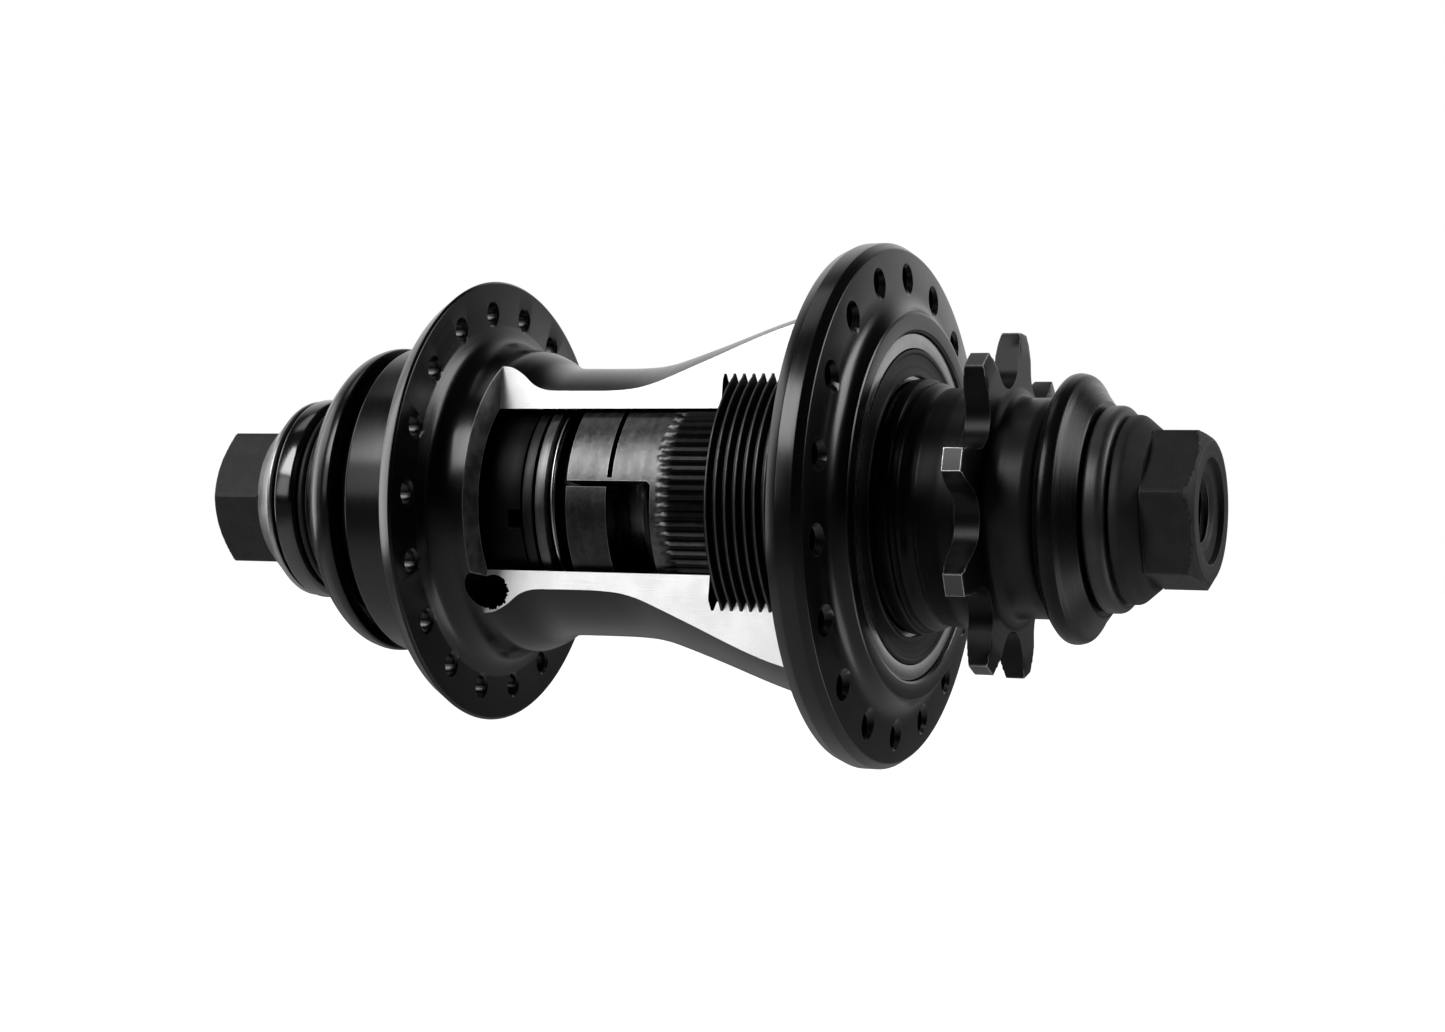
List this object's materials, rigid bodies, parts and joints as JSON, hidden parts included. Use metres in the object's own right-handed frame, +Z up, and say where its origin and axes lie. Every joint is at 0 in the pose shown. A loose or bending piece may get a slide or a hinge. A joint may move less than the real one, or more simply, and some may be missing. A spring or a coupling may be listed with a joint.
{
  "type": "rear bicycle hub",
  "caption": "Cutaway BMX rear freecoaster hub with a bolt-on female axle, spoke flanges, cog driver, sliding cone clutch and sealed bearings.",
  "frame": {"origin": "on the axle axis, half way between the two faces that the frame dropouts clamp on", "axes": "+Y along the axle towards the drive side, +Z up, +X out of the side that is cut open"},
  "size_m": [0.0634, 0.1317, 0.0636],
  "materials": {
    "black_anodised": "gloss black anodised aluminium, bare and bright on the cut faces",
    "black_driver": "satin black plated steel",
    "bolt_black": "matt dark grey phosphated steel",
    "spacer_grey": "satin mid grey anodised",
    "clutch_steel": "ground tool steel with a fine grain",
    "thread_black": "black steel with bright worn thread crests",
    "bearing_steel": "polished bearing steel",
    "axle_steel": "ground chromoly",
    "rubber_black": "matt black seal rubber"
  },
  "bodies": {
    "axle_assembly": {"axle": "axle_steel", "axle_bolt_drive": "bolt_black", "axle_bolt_other_side": "bolt_black", "drag_sleeve": "bolt_black", "spacer_cup": "black_driver", "thrust_washer_left": "spacer_grey", "thrust_washer_right": "clutch_steel", "driver_bearing_spacer": "bolt_black", "end_bearing_spacer": "bolt_black", "dust_cap_drive": "black_driver", "clamp_spacer_drive": "spacer_grey", "end_cap": "black_anodised", "end_cap_seal": "rubber_black", "end_cap_washer": "black_driver", "o_ring": "rubber_black", "cone_other_side": "black_anodised", "end_bearing_inner_race": "bearing_steel", "driver_inboard_bearing_inner_race": "bearing_steel", "driver_outboard_bearing_inner_race": "bearing_steel"},
    "shell": {"hub_shell": "black_anodised", "clutch_ring": "thread_black", "shell_bearing_outer_race": "bearing_steel", "shell_bearing_seal": "rubber_black", "end_bearing_outer_race": "bearing_steel", "end_bearing_seal": "rubber_black"},
    "driver": {"driver": "black_driver", "shell_bearing_inner_race": "bearing_steel", "driver_inboard_bearing_outer_race": "bearing_steel", "driver_outboard_bearing_outer_race": "bearing_steel", "driver_outboard_bearing_seal": "rubber_black"},
    "spring": {"drag_spring": "bearing_steel"},
    "clutch": {"clutch": "clutch_steel"},
    "end_bearing_cage": {"end_bearing_balls": "bearing_steel"},
    "shell_bearing_cage": {"shell_bearing_balls": "bearing_steel"},
    "driver_inboard_cage": {"driver_inboard_bearing_balls": "bearing_steel"},
    "driver_outboard_cage": {"driver_outboard_bearing_balls": "bearing_steel"}
  },
  "joints": [
    {"name": "shell_spin", "type": "hinge", "parent": "axle_assembly", "child": "shell", "pos_m": [0, 0, 0], "axis": [0, 1, 0], "continuous": true},
    {"name": "driver_spin", "type": "hinge", "parent": "axle_assembly", "child": "driver", "pos_m": [0, 0, 0], "axis": [0, 1, 0], "continuous": true},
    {"name": "clutch_turn", "type": "hinge", "parent": "driver", "child": "spring", "pos_m": [0, 0, 0], "axis": [0, 1, 0], "range_deg": [0, 45]},
    {"name": "clutch_travel", "type": "slide", "parent": "spring", "child": "clutch", "axis": [0, 1, 0], "range_m": [0, 0.0015]},
    {"name": "end_cage_spin", "type": "hinge", "parent": "axle_assembly", "child": "end_bearing_cage", "pos_m": [0, 0, 0], "axis": [0, 1, 0], "continuous": true},
    {"name": "driver_inboard_cage_spin", "type": "hinge", "parent": "axle_assembly", "child": "driver_inboard_cage", "pos_m": [0, 0, 0], "axis": [0, 1, 0], "continuous": true},
    {"name": "driver_outboard_cage_spin", "type": "hinge", "parent": "axle_assembly", "child": "driver_outboard_cage", "pos_m": [0, 0, 0], "axis": [0, 1, 0], "continuous": true},
    {"name": "shell_cage_spin", "type": "hinge", "parent": "driver", "child": "shell_bearing_cage", "pos_m": [0, 0, 0], "axis": [0, 1, 0], "continuous": true}
  ],
  "couplings": [
    {"joint": "clutch_travel", "follows": "clutch_turn", "m_per_rad": 0.0019099},
    {"joint": "end_cage_spin", "follows": "shell_spin", "ratio": 0.6074},
    {"joint": "driver_inboard_cage_spin", "follows": "driver_spin", "ratio": 0.5703},
    {"joint": "driver_outboard_cage_spin", "follows": "driver_spin", "ratio": 0.5628},
    {"joint": "shell_cage_spin", "follows": "shell_spin", "ratio": 0.5529}
  ]
}
